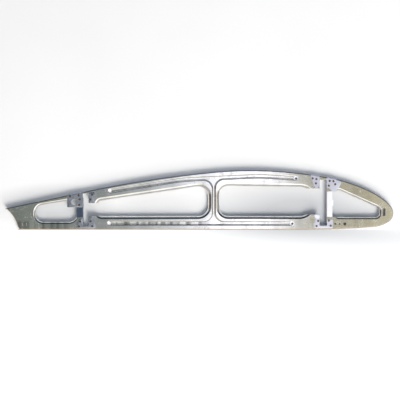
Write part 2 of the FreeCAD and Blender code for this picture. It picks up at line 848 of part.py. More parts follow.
def main():
    sheets = {
        "rib_web": rib_web(),
        "rear_slot_stiffener": rear_slot_stiffener(),
        "front_slot_stiffener": front_slot_stiffener(),
        "rear_upper_aft_gusset": rear_upper_aft_gusset(),
        "rear_upper_forward_gusset": rear_upper_forward_gusset(),
        "rear_lower_doubler": rear_lower_doubler(),
        "front_upper_aft_gusset": front_upper_aft_gusset(),
        "front_upper_forward_gusset": front_upper_forward_gusset(),
        "front_lower_doubler": front_lower_doubler(),
    }
    holes = rivet_hole_cutters()
    parts = {name: sheet.cut(holes) for name, sheet in sheets.items()}
    for name, x, z, grip, share in rivets():
        parts[name] = rivet(x, z, grip, share)
    os.makedirs("parts", exist_ok=True)
    for name, shape in parts.items():
        print(name, len(shape.Solids), "solids", round(shape.Volume, 1), "mm3", shape.isValid())
        shape.exportStep(f"parts/{name}.step")


main()
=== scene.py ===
"""Looks of a light aircraft's pressed wing rib: sheet metal, riveted gussets and the studio round it."""

import math

import bmesh
import bpy
from bpy.props import FloatProperty, FloatVectorProperty, IntProperty, PointerProperty
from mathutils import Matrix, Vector
from mathutils.kdtree import KDTree


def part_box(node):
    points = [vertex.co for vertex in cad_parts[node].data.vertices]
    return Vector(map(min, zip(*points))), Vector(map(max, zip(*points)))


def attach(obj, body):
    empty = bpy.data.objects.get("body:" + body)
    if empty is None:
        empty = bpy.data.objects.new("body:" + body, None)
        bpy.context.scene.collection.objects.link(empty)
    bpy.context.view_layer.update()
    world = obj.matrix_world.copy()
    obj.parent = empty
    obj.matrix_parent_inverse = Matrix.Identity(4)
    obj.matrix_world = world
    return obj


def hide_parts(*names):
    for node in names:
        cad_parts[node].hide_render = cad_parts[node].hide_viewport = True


bl_info = {
    "name": "Pressed wing rib",
    "version": (1, 0, 0),
    "blender": (4, 5, 0),
    "location": "View3D > Sidebar > Wing rib",
    "description": "Finishes a pressed wing rib with sheet metal, gussets, solid rivets and a studio",
    "category": "Object",
}

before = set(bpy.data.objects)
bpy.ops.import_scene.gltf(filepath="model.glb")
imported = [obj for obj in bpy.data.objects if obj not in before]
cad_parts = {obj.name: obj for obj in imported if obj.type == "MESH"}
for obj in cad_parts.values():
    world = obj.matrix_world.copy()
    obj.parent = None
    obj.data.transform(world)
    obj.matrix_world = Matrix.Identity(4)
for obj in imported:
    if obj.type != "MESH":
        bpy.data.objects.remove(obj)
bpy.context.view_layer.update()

WEB = "rib_web"
STIFFENERS = ("rear_slot_stiffener", "front_slot_stiffener")
REAR_GUSSETS = ("rear_upper_aft_gusset", "rear_upper_forward_gusset", "rear_lower_doubler")
FRONT_GUSSETS = ("front_upper_aft_gusset", "front_upper_forward_gusset", "front_lower_doubler")
RIVETS = sorted(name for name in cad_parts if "_rivet_" in name)

NOSE_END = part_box(WEB)[1].x
TAIL_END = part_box(WEB)[0].x
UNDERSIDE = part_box(WEB)[0].z
FLANGE_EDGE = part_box(WEB)[1].y
GUSSET_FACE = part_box("rear_lower_doubler")[0].y

# Tolerances in metres, and the angles below which bends are shaded round
MERGE_DISTANCE = 0.000002
SAME_PLACE = 0.000001
SHEET_SMOOTH_ANGLE = math.radians(38.0)
RIVET_SMOOTH_ANGLE = math.radians(50.0)

# Bare metal: patches in a metre, the shares at which they begin and are full, and heights of relief
GRIME_SCALE = 38.0
GRIME_RANGE = (0.52, 0.80)
GRIME_MOST = 0.2
GRIME_DULLNESS = 0.6
STREAKS = (0.35, 0.65, 0.90, 1.03)
SCRATCH_SCALE = 260.0
SCRATCH_WIDTH = 0.015
SCRATCHED_SCALE = 30.0
SCRATCHED_RANGE = (0.56, 0.62)
WAVE_HEIGHT = 0.0003
ROLLING_HEIGHT = 0.00001
SCRATCH_HEIGHT = 0.0001

# Rivets' coat: patches in a metre, height of relief, and brightness of worn places and of the rim's painted
# shade
COAT_SCALE = 420.0
COAT_HEIGHT = 0.00005
WORN_BRIGHTNESS = 0.45
RIVET_RIM_SHADE = 0.12

# Rivets: rounding of both heads as shares of their heights, and radii as shares of the round head's
CROWN_ROUNDING = 0.92
DRIVEN_ROUNDING = 0.3
SHANK_SHARE = 0.5
DRIVEN_SHARE = 0.75

# The flange's bend, painted dark and tan as reflections: the depth past which an edge is the rim's, the
# step between places on the rim, and the normals of the flat web, of the sheet's inner side and of the
# upper half
RIM_DEPTH = 0.8 * FLANGE_EDGE
RIM_STEP = 0.001
FLAT_NORMAL = -0.99
INNER_NORMAL = 0.01
UPPER_NORMAL = 0.15

# Bands across the lower groove's walls and the tail's lower edge: where each side begins and is full
GROOVE_NEAR = (0.0015, 0.0032)
GROOVE_FAR = (0.0060, 0.0050)
GROOVE_TOP = (-0.050, -0.056)
GROOVE_FRONT = (-0.36, -0.40)
TAIL_BAND_TOP = (-0.055, -0.064)
TAIL_BAND_FRONT = (-0.78, -0.84)
TAIL_BAND_MOST = 0.6
BAND_SCALE = 50.0
BANDS = (0.40, 0.58, 0.42, 1.15)

# Painted highlights on the web: place along the rib, height, radius, and whether a painted dark dot of
# shade is in the middle
PAINTED_HIGHLIGHTS = (
    (-0.6855, -0.0660, 0.0065, False),
    (-0.6830, 0.0385, 0.0065, False),
    (-0.0990, -0.0668, 0.0085, True),
    (-0.0870, 0.0780, 0.0085, True),
    (0.0175, 0.0640, 0.0160, False),
)
# Colour and metalness of the painted highlights, and colour and reach of the painted dark dots of shade
HIGHLIGHT_PAINT_COLOUR = (0.95, 0.95, 0.98)
HIGHLIGHT_PAINT_METALLIC = 0.1
DOT_SHADE_COLOUR = (0.08, 0.10, 0.20)
DOT_SHADE_REACH = (0.0042, 0.0022)
FLECK_REACH = (TAIL_END + 0.1265, TAIL_END + 0.0865)
FLECK_SCALE = 230.0
FLECK_RANGE = (0.72, 0.80)

# Painted shade: soft grey patches on the pale surfaces: middle, patches in a metre along each axis,
# greatest share
SHADES = (
    ((-0.075, 0.02, -0.030), (3.0, 0.9, 8.0), 1.0),
    ((-0.860, 0.02, -0.012), (4.5, 0.9, 14.0), 0.62),
    ((-0.530, 0.02, -0.008), (5.0, 0.9, 15.0), 0.30),
)
SHADE_REACH = (1.1, 0.3)
SHADED_LIFT = 0.6
FLOOR_STRENGTH = 0.35

# How far round the view ahead is mirrored before the one beside is, on the level, low down and high up
TURN_FROM = (-0.86, -0.72, -0.42)
TURN_TO = (-0.74, -0.55, -0.22)

# Lamps: name, direction from the rib, distance, size, the setting with its power, and colour
WARM = (1.0, 0.985, 0.965)
COOL = (0.40, 0.62, 1.0)
LAMPS = (
    ("low_front_light", (0.45, -1.0, -0.75), 6.0, 2.4, "key_power", WARM),
    ("low_wide_light", (0.35, -0.50, -0.85), 5.0, 3.0, "low_power", WARM),
    ("front_fill", (0.1, -1.0, 0.3), 5.0, 5.0, "fill_power", COOL),
)


class RibFinishSettings(bpy.types.PropertyGroup):
    """Colours and textures of the metal."""

    sheet_colour: FloatVectorProperty(
        name="Sheet colour", description="Bare aluminium of the pressed web", subtype="COLOR",
        size=3, default=(0.86, 0.87, 0.87), min=0.0, max=1.0,
    )
    rear_gusset_colour: FloatVectorProperty(
        name="Rear gusset colour", description="Bluish aluminium of the rear gussets", subtype="COLOR",
        size=3, default=(0.46, 0.50, 0.60), min=0.0, max=1.0,
    )
    # Painted reflection: the rear strip's dark blue stands in for the dark surroundings its metal mirrors
    rear_strip_dark_reflection_colour: FloatVectorProperty(
        name="Rear strip colour", description="Dark bluish strip beside the rear slot", subtype="COLOR",
        size=3, default=(0.13, 0.18, 0.28), min=0.0, max=1.0,
    )
    front_gusset_colour: FloatVectorProperty(
        name="Front gusset colour", description="Milky aluminium of the front gussets and strip",
        subtype="COLOR", size=3, default=(0.66, 0.68, 0.79), min=0.0, max=1.0,
    )
    # Painted reflection: the front strip's near white, barely metallic, stands in for the bright light its
    # metal mirrors
    front_strip_bright_reflection_colour: FloatVectorProperty(
        name="Front strip colour", description="Nearly white strip beside the front slot",
        subtype="COLOR", size=3, default=(0.97, 0.97, 1.0), min=0.0, max=1.0,
    )
    rivet_colour: FloatVectorProperty(
        name="Rivet colour", description="Dull gold coat of the rivets", subtype="COLOR",
        size=3, default=(0.50, 0.24, 0.07), min=0.0, max=1.0,
    )
    # Painted reflection: this dark colour on the upper bend stands in for the dark surroundings the bend
    # mirrors
    upper_bend_dark_reflection_colour: FloatVectorProperty(
        name="Upper edge colour", description="Dark grime on the flange's bend along the top",
        subtype="COLOR", size=3, default=(0.10, 0.12, 0.19), min=0.0, max=1.0,
    )
    # Painted reflection: this tan on the lower bend and both ends stands in for warm light the bend mirrors
    lower_bend_warm_reflection_colour: FloatVectorProperty(
        name="Lower edge colour", description="Tan stain on the flange's bend along the bottom",
        subtype="COLOR", size=3, default=(0.40, 0.30, 0.18), min=0.0, max=1.0,
    )
    # How far the painted reflections reach along the bend at the rib's edge
    edge_width: FloatProperty(
        name="Edge width", description="Width of the stained bend at the rib's edge", default=0.0032,
        min=0.0, max=0.02, unit="LENGTH",
    )
    grime_colour: FloatVectorProperty(
        name="Grime colour", description="Thin film of handling marks", subtype="COLOR",
        size=3, default=(0.42, 0.44, 0.42), min=0.0, max=1.0,
    )
    sheet_roughness: FloatProperty(
        name="Sheet roughness", description="How dull the mill finish is", default=0.11, min=0.0, max=1.0,
    )
    rolling_scale: FloatProperty(
        name="Rolling lines", description="Rolling lines in each metre of sheet", default=900.0, min=1.0,
    )
    wave_scale: FloatProperty(
        name="Sheet waves", description="Slow waves in each metre of sheet", default=22.0, min=1.0,
    )


class RibRivetSettings(bpy.types.PropertyGroup):
    """Shape of the driven rivets."""

    segments: IntProperty(
        name="Segments", description="Faces round a rivet's head", default=20, min=8, max=64,
    )
    rings: IntProperty(
        name="Rings", description="Steps from a rivet's crown to its rim", default=5, min=2, max=16,
    )
    # Past this reach the head's rim is painted dark as shade
    crown_share: FloatProperty(
        name="Bright crown", description="Reach of the bright crown as a share of the head", default=0.62,
        min=0.0, max=1.0,
    )
    tail_share: FloatProperty(
        name="Driven head", description="Height of the driven head beside the round head's", default=0.93,
        min=0.1, max=2.0,
    )


class RibStageSettings(bpy.types.PropertyGroup):
    """Camera, lights and background."""

    camera_distance: FloatProperty(
        name="Camera distance", description="From the plain face of the web", default=2.6, min=0.5,
        subtype="DISTANCE", unit="LENGTH",
    )
    view_width: FloatProperty(
        name="View width", description="Width of the picture at the plain face", default=1.28, min=0.1,
        subtype="DISTANCE", unit="LENGTH",
    )
    view_centre_x: FloatProperty(
        name="Picture centre along the rib", description="From the front spar slot", default=-0.3942,
        subtype="DISTANCE", unit="LENGTH",
    )
    view_centre_z: FloatProperty(
        name="Picture centre height", description="From the middle of the front slot", default=0.0085,
        subtype="DISTANCE", unit="LENGTH",
    )
    backdrop_gap: FloatProperty(
        name="Backdrop gap", description="From the flange's edge to the backdrop", default=0.002, min=0.0,
        subtype="DISTANCE", unit="LENGTH",
    )
    backdrop_reach: FloatProperty(
        name="Backdrop reach", description="From the rib's middle to each edge of the backdrop",
        default=1.5, min=0.7, subtype="DISTANCE", unit="LENGTH",
    )
    backdrop_colour: FloatVectorProperty(
        name="Backdrop colour", description="Pale surface behind and below the rib", subtype="COLOR",
        size=3, default=(0.93, 0.93, 0.92), min=0.0, max=1.0,
    )
    # Painted shade: bounced light sees the pale surfaces as dark and bluish, which deepens and blues the
    # shade round the rib
    bounce_colour: FloatVectorProperty(
        name="Bounce colour", description="Pale surfaces as the rib's own shade sees them", subtype="COLOR",
        size=3, default=(0.26, 0.30, 0.38), min=0.0, max=1.0,
    )
    shade_colour: FloatVectorProperty(
        name="Shaded backdrop", description="Soft grey of the pale surfaces' shaded patches",
        subtype="COLOR", size=3, default=(0.60, 0.61, 0.62), min=0.0, max=1.0,
    )
    backdrop_lift: FloatProperty(
        name="Backdrop lift", description="Light added to the backdrop for the camera", default=0.0,
        min=0.0, max=1.0,
    )
    floor_gap: FloatProperty(
        name="Floor gap", description="From the rib's underside to the floor", default=0.0005, min=0.0,
        subtype="DISTANCE", unit="LENGTH",
    )
    floor_lift: FloatProperty(
        name="Floor lift", description="Light added to the floor for the camera", default=0.92,
        min=0.0, max=1.0,
    )
    key_power: FloatProperty(
        name="Key light", description="Power of the low front light", default=196.0, min=0.0,
        subtype="POWER", unit="POWER",
    )
    low_power: FloatProperty(
        name="Low light", description="Power of the wide light below the rib", default=124.0, min=0.0,
        subtype="POWER", unit="POWER",
    )
    fill_power: FloatProperty(
        name="Front fill", description="Power of the wide bluish light ahead of the rib", default=40.0,
        min=0.0, subtype="POWER", unit="POWER",
    )
    sky_level: FloatProperty(
        name="Surroundings", description="Brightness of the surroundings", default=1.0, min=0.0,
    )


def clear_selection():
    """Leaves nothing selected, so that an operator acts on the new piece alone."""
    if bpy.context.object and bpy.context.object.mode != "OBJECT":
        bpy.ops.object.mode_set(mode="OBJECT")
    bpy.ops.object.select_all(action="DESELECT")


def pick(piece):
    """Selects one piece and makes it active."""
    clear_selection()
    piece.select_set(True)
    bpy.context.view_layer.objects.active = piece


def new_material(name):
    """A material with a node tree that holds a Principled shader and its output."""
    material = bpy.data.materials.new(name)
    material.use_nodes = True
    tree = material.node_tree
    return material, tree, tree.nodes["Principled BSDF"]


def add_node(tree, kind, inputs=(), **settings):
    """A node with its settings and inputs, where an input is a value or another node's socket."""
    node = tree.nodes.new(kind)
    for key, value in settings.items():
        setattr(node, key, value)
    for socket, value in dict(inputs).items():
        if isinstance(value, bpy.types.NodeSocket):
            tree.links.new(value, node.inputs[socket])
        else:
            node.inputs[socket].default_value = value
    return node


def object_pattern(tree, scale):
    """Object coordinates, stretched along each axis."""
    place = add_node(tree, "ShaderNodeTexCoord").outputs["Object"]
    return add_node(tree, "ShaderNodeMapping", {"Vector": place, "Scale": scale}).outputs["Vector"]


def noise(tree, vector, scale, detail=2.0, roughness=0.5):
    """A noise field's value, with its scale in blotches in a metre."""
    settings = {"Vector": vector, "Scale": scale, "Detail": detail, "Roughness": roughness}
    return add_node(tree, "ShaderNodeTexNoise", settings).outputs["Fac"]


def spread(tree, value, low, high, to_low=0.0, to_high=1.0):
    """A value's range moved to another, and held within it."""
    settings = {"Value": value, "From Min": low, "From Max": high, "To Min": to_low, "To Max": to_high}
    return add_node(tree, "ShaderNodeMapRange", settings).outputs["Result"]


def blend_colour(tree, share, first, second, mode="MIX"):
    """Two colours mixed, the second by its share. A colour is a triple or a socket."""
    node = add_node(tree, "ShaderNodeMix", data_type="RGBA", blend_type=mode)
    for socket, value in ((node.inputs[0], share), (node.inputs[6], first), (node.inputs[7], second)):
        if isinstance(value, bpy.types.NodeSocket):
            tree.links.new(value, socket)
        elif isinstance(value, (int, float)):
            socket.default_value = value
        else:
            socket.default_value = (*value, 1.0)
    return node.outputs[2]


def bump(tree, height, distance, strength=1.0, normal=None):
    """A normal raised by a height field, on top of another normal where one is given."""
    inputs = {"Height": height, "Distance": distance, "Strength": strength}
    if normal is not None:
        inputs["Normal"] = normal
    return add_node(tree, "ShaderNodeBump", inputs).outputs["Normal"]


def product(tree, first, second, operation="MULTIPLY"):
    """Two values multiplied, or joined by another operation of the Math node."""
    return add_node(tree, "ShaderNodeMath", {0: first, 1: second}, operation=operation).outputs[0]


def scratches(tree, even):
    """Short scratches in some places of the sheet."""
    stretched = object_pattern(tree, (1.0, 1.0, 0.25))
    field = add_node(
        tree, "ShaderNodeTexVoronoi", {"Vector": stretched, "Scale": SCRATCH_SCALE},
        feature="DISTANCE_TO_EDGE",
    ).outputs["Distance"]
    lines = spread(tree, field, 0.0, SCRATCH_WIDTH, 1.0, 0.0)
    return product(tree, lines, spread(tree, noise(tree, even, SCRATCHED_SCALE), *SCRATCHED_RANGE))


def sheet_metal(name, settings, colour, roughness, metallic, pressed=False):
    """Bright rolled sheet: fine rolling lines, slow waves, handling marks and a few short scratches.

    A pressed sheet is rolled along the rib, and has dark and light bands on the lower groove's walls and
    near the tail's lower edge, and painted highlights, some with a painted dark dot of shade.
    """
    material, tree, shader = new_material(name)
    links = tree.links
    even = object_pattern(tree, (1.0, 1.0, 1.0))
    rolled = (0.02, 1.0, 1.0) if pressed else (1.0, 1.0, 0.02)
    rolling = noise(tree, object_pattern(tree, rolled), settings.rolling_scale, 3.0, 0.6)
    waves = noise(tree, object_pattern(tree, (1.0, 1.0, 0.15)), settings.wave_scale, 1.0, 0.4)
    grime = spread(tree, noise(tree, even, GRIME_SCALE, 6.0, 0.62), *GRIME_RANGE, 0.0, GRIME_MOST)
    base = blend_colour(tree, grime, colour, settings.grime_colour)
    streaks = spread(tree, waves, *STREAKS)
    if pressed:
        streaks = product(tree, streaks, groove_bands(tree))
    tone = add_node(tree, "ShaderNodeCombineColor", {"Red": streaks, "Green": streaks, "Blue": streaks})
    base = blend_colour(tree, 1.0, base, tone.outputs[0], "MULTIPLY")
    shader.inputs["Metallic"].default_value = metallic
    if pressed:
        # Painted highlights, and painted dark dots of shade in some of them
        spots, dot_shade = painted_highlights_and_dots(tree)
        base = blend_colour(tree, spots, base, HIGHLIGHT_PAINT_COLOUR)
        base = blend_colour(tree, dot_shade, base, DOT_SHADE_COLOUR)
        links.new(spread(tree, spots, 0.0, 1.0, metallic, HIGHLIGHT_PAINT_METALLIC), shader.inputs["Metallic"])
    links.new(base, shader.inputs["Base Color"])
    dull = spread(tree, rolling, 0.3, 0.7, roughness - 0.03, roughness + 0.05)
    links.new(product(tree, dull, product(tree, grime, GRIME_DULLNESS), "ADD"), shader.inputs["Roughness"])
    normal = bump(tree, waves, WAVE_HEIGHT, 0.3)
    normal = bump(tree, rolling, ROLLING_HEIGHT, 0.5, normal)
    normal = bump(tree, scratches(tree, even), SCRATCH_HEIGHT, 0.6, normal)
    links.new(normal, shader.inputs["Normal"])
    return material


def groove_bands(tree):
    """Dark and light bands across the lower groove and the tail's lower edge."""
    place = add_node(tree, "ShaderNodeTexCoord").outputs["Object"]
    place = add_node(tree, "ShaderNodeSeparateXYZ", {"Vector": place})
    x, depth, z = place.outputs["X"], place.outputs["Y"], place.outputs["Z"]
    walls = product(tree, spread(tree, depth, *GROOVE_NEAR), spread(tree, depth, *GROOVE_FAR))
    low = product(tree, spread(tree, z, *GROOVE_TOP), spread(tree, x, *GROOVE_FRONT))
    along = spread(tree, x, *TAIL_BAND_FRONT, 0.0, TAIL_BAND_MOST)
    at_tail = product(tree, spread(tree, z, *TAIL_BAND_TOP), along)
    share = product(tree, product(tree, walls, low), at_tail, "MAXIMUM")
    bands = noise(tree, object_pattern(tree, (1.0, 0.02, 0.02)), BAND_SCALE, 1.0, 0.4)
    level = spread(tree, bands, *BANDS)
    return add_node(tree, "ShaderNodeMix", {0: share, 2: 1.0, 3: level}, data_type="FLOAT").outputs[0]


def painted_highlights_and_dots(tree):
    """Shares of bright flecks and painted highlights, and of the painted dark dots of shade in some of the
    highlights.
    """
    place = add_node(tree, "ShaderNodeTexCoord").outputs["Object"]
    along = add_node(tree, "ShaderNodeSeparateXYZ", {"Vector": place}).outputs["X"]
    flecks = noise(tree, object_pattern(tree, (1.0, 1.0, 1.0)), FLECK_SCALE, 0.0)
    spots = product(tree, spread(tree, flecks, *FLECK_RANGE), spread(tree, along, *FLECK_REACH))
    dot_shade = 0.0
    for x, z, radius, with_dot_shade in PAINTED_HIGHLIGHTS:
        shift = {"Vector": place, "Scale": (1.0, 0.0, 1.0), "Location": (-x, 0.0, -z)}
        offset = add_node(tree, "ShaderNodeMapping", shift)
        reach = add_node(tree, "ShaderNodeVectorMath", {0: offset.outputs["Vector"]}, operation="LENGTH")
        reach = reach.outputs["Value"]
        spots = product(tree, spots, spread(tree, reach, radius, 0.6 * radius), "MAXIMUM")
        if with_dot_shade:
            dot_shade = product(tree, dot_shade, spread(tree, reach, *DOT_SHADE_REACH), "MAXIMUM")
    return spots, dot_shade


def rivet_metal(name, colour):
    """Dull gold coat with a little wear."""
    material, tree, shader = new_material(name)
    patch = noise(tree, object_pattern(tree, (1.0, 1.0, 1.0)), COAT_SCALE, 4.0)
    dark = tuple(WORN_BRIGHTNESS * c for c in colour)
    worn = blend_colour(tree, spread(tree, patch, 0.4, 0.7), colour, dark)
    tree.links.new(worn, shader.inputs["Base Color"])
    tree.links.new(spread(tree, patch, 0.3, 0.7, 0.25, 0.45), shader.inputs["Roughness"])
    tree.links.new(bump(tree, patch, COAT_HEIGHT), shader.inputs["Normal"])
    shader.inputs["Metallic"].default_value = 1.0
    return material


def smooth_copy(node, material):
    """A node's own shape with its facets joined and its bends shaded round, in place of the node."""
    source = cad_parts[node]
    mesh = source.data.copy()
    piece = bpy.data.objects.new(node + "_metal", mesh)
    bpy.context.scene.collection.objects.link(piece)
    pick(piece)
    bpy.ops.object.mode_set(mode="EDIT")
    bpy.ops.mesh.select_all(action="SELECT")
    bpy.ops.mesh.remove_doubles(threshold=MERGE_DISTANCE)
    bpy.ops.object.mode_set(mode="OBJECT")
    bpy.ops.object.shade_smooth_by_angle(angle=SHEET_SMOOTH_ANGLE)
    bpy.ops.object.modifier_add(type="WEIGHTED_NORMAL")
    weighted = piece.modifiers[-1]
    weighted.keep_sharp = True
    weighted.weight = 100
    bpy.ops.object.modifier_apply(modifier=weighted.name)
    mesh.materials.clear()
    mesh.materials.append(material)
    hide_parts(node)
    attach(piece, "root")
    return piece


def rim_line(mesh):
    """Places along the rim of the web's flange, for a search of the nearest, seen square on."""
    places = []
    for edge in mesh.edges:
        first, second = (mesh.vertices[number].co for number in edge.vertices)
        if min(first.y, second.y) > RIM_DEPTH:
            steps = 1 + int((second - first).length / RIM_STEP)
            places += [first.lerp(second, step / steps) for step in range(steps + 1)]
    line = KDTree(len(places))
    for number, place in enumerate(places):
        line.insert((place.x, 0.0, place.z), number)
    line.balance()
    return line


def paint_bend_reflections(web, width, upper, lower):
    """Painted reflections on the flange's bend: dark along the top, and tan along the bottom and at both
    ends.
    """
    mesh = web.data
    line = rim_line(mesh)
    mesh.materials.append(upper)
    mesh.materials.append(lower)
    for face in mesh.polygons:
        middle = face.center
        on_bend = 0.0 < middle.y < width and FLAT_NORMAL < face.normal.y < INNER_NORMAL
        if on_bend and line.find((middle.x, 0.0, middle.z))[2] < width:
            face.material_index = 1 if face.normal.z > UPPER_NORMAL else 2


class RIB_OT_web(bpy.types.Operator):
    """Finish the pressed web"""

    bl_idname = "rib.web"
    bl_label = "Pressed web"

    def execute(self, context):
        settings = context.scene.rib_finish
        metal = sheet_metal(
            "web_aluminium", settings, settings.sheet_colour, settings.sheet_roughness, metallic=1.0,
            pressed=True,
        )
        # Painted reflections on the flange's bend: dark along the top, tan along the bottom and both ends
        upper = sheet_metal(
            "upper_edge_aluminium", settings, settings.upper_bend_dark_reflection_colour, roughness=0.3, metallic=0.95,
        )
        lower = sheet_metal(
            "lower_edge_aluminium", settings, settings.lower_bend_warm_reflection_colour, roughness=0.3, metallic=0.6,
        )
        paint_bend_reflections(smooth_copy(WEB, metal), settings.edge_width, upper, lower)
        return {"FINISHED"}


class RIB_OT_gussets(bpy.types.Operator):
    """Finish the gussets and doublers"""

    bl_idname = "rib.gussets"
    bl_label = "Gussets and doublers"

    def execute(self, context):
        settings = context.scene.rib_finish
        rear = sheet_metal(
            "rear_gusset_aluminium", settings, settings.rear_gusset_colour, roughness=0.24, metallic=0.9,
        )
        front = sheet_metal(
            "front_gusset_aluminium", settings, settings.front_gusset_colour, roughness=0.3,
            metallic=0.45,
        )
        for nodes, metal in ((REAR_GUSSETS, rear), (FRONT_GUSSETS, front)):
            for node in nodes:
                smooth_copy(node, metal)
        return {"FINISHED"}


class RIB_OT_stiffeners(bpy.types.Operator):
    """Finish the strips beside the spar slots"""

    bl_idname = "rib.stiffeners"
    bl_label = "Slot stiffeners"

    def execute(self, context):
        settings = context.scene.rib_finish
        # Painted reflections: the rear strip dark blue, the front strip near white and barely metallic
        rear = sheet_metal(
            "rear_strip_aluminium", settings, settings.rear_strip_dark_reflection_colour, roughness=0.22, metallic=0.9,
        )
        front = sheet_metal(
            "front_strip_aluminium", settings, settings.front_strip_bright_reflection_colour, roughness=0.35, metallic=0.15,
        )
        for node, metal in zip(STIFFENERS, (rear, front)):
            smooth_copy(node, metal)
        return {"FINISHED"}


def turned_disc(settings, radius, near, far, round_off):
    """A disc along Y from near to far, whose far rim is rounded off."""
    clear_selection()
    bpy.ops.mesh.primitive_cylinder_add(
        vertices=settings.segments, radius=radius, depth=abs(far - near),
        location=(0.0, (near + far) / 2, 0.0), rotation=(math.radians(90.0), 0.0, 0.0),
    )
    disc = bpy.context.object
    bpy.ops.object.transform_apply(location=True, rotation=True, scale=True)
    if round_off:
        bpy.ops.object.mode_set(mode="EDIT")
        bpy.ops.mesh.select_mode(type="EDGE")
        bpy.ops.mesh.select_all(action="DESELECT")
        shape = bmesh.from_edit_mesh(disc.data)
        for edge in shape.edges:
            edge.select = all(abs(v.co.y - far) < SAME_PLACE for v in edge.verts)
        bmesh.update_edit_mesh(disc.data)
        bpy.ops.mesh.bevel(offset=round_off, segments=settings.rings, profile=0.6, affect="EDGES")
        bpy.ops.object.mode_set(mode="OBJECT")
    return disc


def formed_rivet(settings, radius, crown, back, metals):
    """One rivet round the Y axis: a round head on the gusset, its rim painted dark as shade, and a driven
    head.
    """
    height = GUSSET_FACE - crown
    tail = settings.tail_share * height
    head = turned_disc(settings, radius, GUSSET_FACE, crown, CROWN_ROUNDING * height)
    shank = turned_disc(settings, SHANK_SHARE * radius, GUSSET_FACE, back - tail, 0.0)
    driven = turned_disc(settings, DRIVEN_SHARE * radius, back - tail, back, DRIVEN_ROUNDING * tail)
    pick(head)
    shank.select_set(True)
    driven.select_set(True)
    bpy.ops.object.join()
    bpy.ops.object.shade_smooth_by_angle(angle=RIVET_SMOOTH_ANGLE)
    for metal in metals:
        head.data.materials.append(metal)
    for face in head.data.polygons:
        reach = math.hypot(face.center.x, face.center.z)
        # Faces past the bright crown take the rim's painted shade
        face.material_index = int(reach > settings.crown_share * radius)
    return head


class RIB_OT_rivets(bpy.types.Operator):
    """Form round-headed rivets in place of the plain ones"""

    bl_idname = "rib.rivets"
    bl_label = "Solid rivets"

    def execute(self, context):
        settings = context.scene.rib_rivets
        gold = context.scene.rib_finish.rivet_colour
        # Painted shade for the rims of the rivet heads
        dark = tuple(RIVET_RIM_SHADE * c for c in gold)
        metals = (rivet_metal("rivet_gold", gold), rivet_metal("rivet_rim", dark))

        # Rivets whose sizes agree to a hundredth of a millimetre are copies of one pattern
        patterns = {}
        for node in RIVETS:
            low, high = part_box(node)
            size = tuple(round(1e5 * value) for value in (high.x - low.x, low.y, high.y))
            if size not in patterns:
                patterns[size] = formed_rivet(settings, (high.x - low.x) / 2, low.y, high.y, metals)
            piece = patterns[size].copy()
            piece.data = patterns[size].data.copy()
            context.scene.collection.objects.link(piece)
            piece.name = node + "_formed"
            piece.location = ((low.x + high.x) / 2, 0.0, (low.z + high.z) / 2)
            pick(piece)
            bpy.ops.object.transform_apply(location=True, rotation=False, scale=False)
            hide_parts(node)
            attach(piece, "root")
        for pattern in patterns.values():
            bpy.data.objects.remove(pattern)
        return {"FINISHED"}


def colour_ramp(tree, value, stops):
    """Colours along a value, as (place, colour) from the lowest to the highest."""
    node = add_node(tree, "ShaderNodeValToRGB", {"Fac": value})
    ramp = node.color_ramp
    ramp.interpolation = "EASE"
    ramp.elements[0].position, ramp.elements[0].color = stops[0][0], (*stops[0][1], 1.0)
    ramp.elements[1].position, ramp.elements[1].color = stops[-1][0], (*stops[-1][1], 1.0)
    for position, colour in stops[1:-1]:
        ramp.elements.new(position).color = (*colour, 1.0)
    return node.outputs["Color"]


